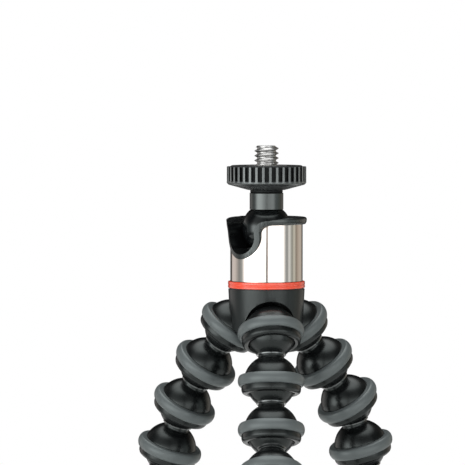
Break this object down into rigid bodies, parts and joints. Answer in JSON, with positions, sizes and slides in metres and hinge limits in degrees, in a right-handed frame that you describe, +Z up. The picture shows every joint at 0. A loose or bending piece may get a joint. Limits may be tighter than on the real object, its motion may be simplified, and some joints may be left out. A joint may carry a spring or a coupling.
{
  "type": "flexible leg tripod",
  "caption": "Small flexible tripod: three legs of ball and socket segments with rubber grip rings carry a turning ball head with a ribbed thumb dial and camera screw.",
  "frame": {"origin": "on the ground, below the middle of the box round the whole tripod as it stands", "axes": "+Z up along the head and the camera screw; -Y towards the front leg; +X to the right leg"},
  "size_m": [0.0936, 0.088, 0.1641],
  "materials": {
    "charcoal_plastic": "satin",
    "red_plastic": "satin",
    "sleeve_steel": "brushed",
    "cup_plastic": "semi-gloss",
    "ball_plastic": "gloss",
    "stem_metal": "satin anodised",
    "dial_plastic": "satin",
    "screw_steel": "plated",
    "camera_pad_rubber": "matte",
    "pad_plastic": "satin",
    "leg_plastic": "satin",
    "foot_rubber": "matte"
  },
  "bodies": {
    "base": {"base_housing": "charcoal_plastic", "accent_ring": "red_plastic", "bearing_washer": "screw_steel", "pan_bolt": "screw_steel"},
    "head_cup": {"socket_cup": "cup_plastic", "lock_sleeve": "sleeve_steel", "disc_spring": "screw_steel", "ball_pad": "pad_plastic"},
    "ball_and_stem": {"head_ball": "ball_plastic", "stem": "stem_metal"},
    "dial": {"thumb_dial": "dial_plastic", "camera_pad": "camera_pad_rubber", "camera_screw": "screw_steel", "spindle_bolt": "screw_steel", "dial_washer": "pad_plastic"},
    "front_leg_segment_1": {"leg_front_segment_1": "leg_plastic"},
    "front_leg_segment_2": {"leg_front_segment_2": "leg_plastic"},
    "front_leg_segment_3": {"leg_front_segment_3": "leg_plastic"},
    "front_leg_segment_4": {"leg_front_segment_4": "leg_plastic"},
    "front_leg_segment_5": {"leg_front_segment_5": "leg_plastic"},
    "front_leg_segment_6": {"leg_front_segment_6": "leg_plastic"},
    "front_leg_segment_7": {"leg_front_segment_7": "leg_plastic"},
    "front_leg_segment_8": {"leg_front_segment_8": "leg_plastic"},
    "front_leg_segment_9": {"leg_front_segment_9": "leg_plastic"},
    "front_leg_foot": {"leg_front_foot_core": "leg_plastic", "leg_front_foot_pad": "foot_rubber"},
    "right_leg_segment_1": {"leg_right_segment_1": "leg_plastic"},
    "right_leg_segment_2": {"leg_right_segment_2": "leg_plastic"},
    "right_leg_segment_3": {"leg_right_segment_3": "leg_plastic"},
    "right_leg_segment_4": {"leg_right_segment_4": "leg_plastic"},
    "right_leg_segment_5": {"leg_right_segment_5": "leg_plastic"},
    "right_leg_segment_6": {"leg_right_segment_6": "leg_plastic"},
    "right_leg_segment_7": {"leg_right_segment_7": "leg_plastic"},
    "right_leg_segment_8": {"leg_right_segment_8": "leg_plastic"},
    "right_leg_segment_9": {"leg_right_segment_9": "leg_plastic"},
    "right_leg_foot": {"leg_right_foot_core": "leg_plastic", "leg_right_foot_pad": "foot_rubber"},
    "left_leg_segment_1": {"leg_left_segment_1": "leg_plastic"},
    "left_leg_segment_2": {"leg_left_segment_2": "leg_plastic"},
    "left_leg_segment_3": {"leg_left_segment_3": "leg_plastic"},
    "left_leg_segment_4": {"leg_left_segment_4": "leg_plastic"},
    "left_leg_segment_5": {"leg_left_segment_5": "leg_plastic"},
    "left_leg_segment_6": {"leg_left_segment_6": "leg_plastic"},
    "left_leg_segment_7": {"leg_left_segment_7": "leg_plastic"},
    "left_leg_segment_8": {"leg_left_segment_8": "leg_plastic"},
    "left_leg_segment_9": {"leg_left_segment_9": "leg_plastic"},
    "left_leg_foot": {"leg_left_foot_core": "leg_plastic", "leg_left_foot_pad": "foot_rubber"}
  },
  "joints": [
    {"name": "head_pan", "type": "hinge", "parent": "base", "child": "head_cup", "pos_m": [0.00087, 0.0122, 0.12844], "axis": [0, 0, 1], "continuous": true},
    {"name": "ball_tilt", "type": "hinge", "parent": "head_cup", "child": "ball_and_stem", "pos_m": [0.00087, 0.0122, 0.14239], "axis": [0.682, -0.7314, 0], "range_deg": [-18, 90]},
    {"name": "dial_spin", "type": "hinge", "parent": "ball_and_stem", "child": "dial", "pos_m": [0.00087, 0.0122, 0.15184], "axis": [0, 0, 1], "continuous": true},
    {"name": "front_leg_joint_1", "type": "hinge", "parent": "base", "child": "front_leg_segment_1", "pos_m": [0.00138, 0.00803, 0.12414], "axis": [-0.9925, -0.1219, 0], "range_deg": [-2, 8]},
    {"name": "front_leg_joint_2", "type": "hinge", "parent": "front_leg_segment_1", "child": "front_leg_segment_2", "pos_m": [0.002, 0.00299, 0.11461], "axis": [1, 0, 0], "range_deg": [-43.5, 16]},
    {"name": "front_leg_joint_3", "type": "hinge", "parent": "front_leg_segment_2", "child": "front_leg_segment_3", "pos_m": [0.002, -0.00015, 0.10199], "axis": [0, -0.9703, 0.2419], "range_deg": [-29.5, 29.5]},
    {"name": "front_leg_joint_4", "type": "hinge", "parent": "front_leg_segment_3", "child": "front_leg_segment_4", "pos_m": [0.002, -0.00417, 0.08963], "axis": [-1, 0, 0], "range_deg": [-45.5, 14]},
    {"name": "front_leg_joint_5", "type": "hinge", "parent": "front_leg_segment_4", "child": "front_leg_segment_5", "pos_m": [0.002, -0.01135, 0.07879], "axis": [0, 0.8334, -0.5526], "range_deg": [-29.5, 29.5]},
    {"name": "front_leg_joint_6", "type": "hinge", "parent": "front_leg_segment_5", "child": "front_leg_segment_6", "pos_m": [0.002, -0.01821, 0.06775], "axis": [1, 0, 0], "range_deg": [-33, 26.5]},
    {"name": "front_leg_joint_7", "type": "hinge", "parent": "front_leg_segment_6", "child": "front_leg_segment_7", "pos_m": [0.002, -0.02442, 0.05633], "axis": [0, -0.8787, 0.4774], "range_deg": [-29.5, 29.5]},
    {"name": "front_leg_joint_8", "type": "hinge", "parent": "front_leg_segment_7", "child": "front_leg_segment_8", "pos_m": [0.002, -0.0296, 0.04441], "axis": [-1, 0, 0], "range_deg": [-23, 36.5]},
    {"name": "front_leg_joint_9", "type": "hinge", "parent": "front_leg_segment_8", "child": "front_leg_segment_9", "pos_m": [0.002, -0.03335, 0.03196], "axis": [0, 0.9575, -0.2886], "range_deg": [-28.5, 28.5]},
    {"name": "front_leg_joint_10", "type": "hinge", "parent": "front_leg_segment_9", "child": "front_leg_foot", "pos_m": [0.002, -0.03525, 0.0191], "axis": [1, 0, 0], "range_deg": [-38, 21.5]},
    {"name": "right_leg_joint_1", "type": "hinge", "parent": "base", "child": "right_leg_segment_1", "pos_m": [0.00422, 0.01472, 0.12414], "axis": [-0.6018, 0.7986, 0], "range_deg": [-8, 3]},
    {"name": "right_leg_joint_2", "type": "hinge", "parent": "right_leg_segment_1", "child": "right_leg_segment_2", "pos_m": [0.00953, 0.01873, 0.11563], "axis": [-0.5, 0.866, 0], "range_deg": [-29.5, 29.5]},
    {"name": "right_leg_joint_3", "type": "hinge", "parent": "right_leg_segment_2", "child": "right_leg_segment_3", "pos_m": [0.01646, 0.02273, 0.10539], "axis": [0.6824, 0.394, 0.6157], "range_deg": [-29.5, 29.5]},
    {"name": "right_leg_joint_4", "type": "hinge", "parent": "right_leg_segment_3", "child": "right_leg_segment_4", "pos_m": [0.02308, 0.02655, 0.09487], "axis": [0.5, -0.866, 0], "range_deg": [-12, 47.5]},
    {"name": "right_leg_joint_5", "type": "hinge", "parent": "right_leg_segment_4", "child": "right_leg_segment_5", "pos_m": [0.02659, 0.02858, 0.08252], "axis": [-0.8228, -0.475, -0.3121], "range_deg": [-29.5, 29.5]},
    {"name": "right_leg_joint_6", "type": "hinge", "parent": "right_leg_segment_5", "child": "right_leg_segment_6", "pos_m": [0.02994, 0.03051, 0.07011], "axis": [-0.5, 0.866, 0], "range_deg": [-31.5, 28]},
    {"name": "right_leg_joint_7", "type": "hinge", "parent": "right_leg_segment_6", "child": "right_leg_segment_7", "pos_m": [0.03294, 0.03224, 0.05758], "axis": [0.8347, 0.4819, 0.2665], "range_deg": [-29.5, 29.5]},
    {"name": "right_leg_joint_8", "type": "hinge", "parent": "right_leg_segment_7", "child": "right_leg_segment_8", "pos_m": [0.03542, 0.03367, 0.0449], "axis": [0.5, -0.866, 0], "range_deg": [-26, 33.5]},
    {"name": "right_leg_joint_9", "type": "hinge", "parent": "right_leg_segment_8", "child": "right_leg_segment_9", "pos_m": [0.0372, 0.0347, 0.03206], "axis": [-0.8551, -0.4937, -0.158], "range_deg": [-29.5, 29.5]},
    {"name": "right_leg_joint_10", "type": "hinge", "parent": "right_leg_segment_9", "child": "right_leg_foot", "pos_m": [0.03809, 0.03521, 0.0191], "axis": [-0.5, 0.866, 0], "range_deg": [-34.5, 25]},
    {"name": "left_leg_joint_1", "type": "hinge", "parent": "base", "child": "left_leg_segment_1", "pos_m": [-0.003, 0.01384, 0.12414], "axis": [-0.3907, -0.9205, 0], "range_deg": [-8, 3]},
    {"name": "left_leg_joint_2", "type": "hinge", "parent": "left_leg_segment_1", "child": "left_leg_segment_2", "pos_m": [-0.00912, 0.01644, 0.11563], "axis": [-0.5446, -0.8387, 0], "range_deg": [-29.5, 28.5]},
    {"name": "left_leg_joint_3", "type": "hinge", "parent": "left_leg_segment_2", "child": "left_leg_segment_3", "pos_m": [-0.01568, 0.0207, 0.10525], "axis": [-0.6698, 0.435, 0.6018], "range_deg": [-29, 29]},
    {"name": "left_leg_joint_4", "type": "hinge", "parent": "left_leg_segment_3", "child": "left_leg_segment_4", "pos_m": [-0.0213, 0.02434, 0.09411], "axis": [0.5446, 0.8387, 0], "range_deg": [-20, 39.5]},
    {"name": "left_leg_joint_5", "type": "hinge", "parent": "left_leg_segment_4", "child": "left_leg_segment_5", "pos_m": [-0.02522, 0.02689, 0.08198], "axis": [0.7825, -0.5081, -0.3599], "range_deg": [-29.5, 29.5]},
    {"name": "left_leg_joint_6", "type": "hinge", "parent": "left_leg_segment_5", "child": "left_leg_segment_6", "pos_m": [-0.02896, 0.02932, 0.06976], "axis": [-0.5446, -0.8387, 0], "range_deg": [-32, 27.5]},
    {"name": "left_leg_joint_7", "type": "hinge", "parent": "left_leg_segment_6", "child": "left_leg_segment_7", "pos_m": [-0.03231, 0.0315, 0.0574], "axis": [-0.7979, 0.5182, 0.3079], "range_deg": [-29.5, 29.5]},
    {"name": "left_leg_joint_8", "type": "hinge", "parent": "left_leg_segment_7", "child": "left_leg_segment_8", "pos_m": [-0.03509, 0.0333, 0.04482], "axis": [0.5446, 0.8387, 0], "range_deg": [-25.5, 34]},
    {"name": "left_leg_joint_9", "type": "hinge", "parent": "left_leg_segment_8", "child": "left_leg_segment_9", "pos_m": [-0.03709, 0.0346, 0.03204], "axis": [0.8245, -0.5354, -0.1831], "range_deg": [-29.5, 29.5]},
    {"name": "left_leg_joint_10", "type": "hinge", "parent": "left_leg_segment_9", "child": "left_leg_foot", "pos_m": [-0.03809, 0.03525, 0.0191], "axis": [-0.5446, -0.8387, 0], "range_deg": [-35, 24.5]}
  ]
}
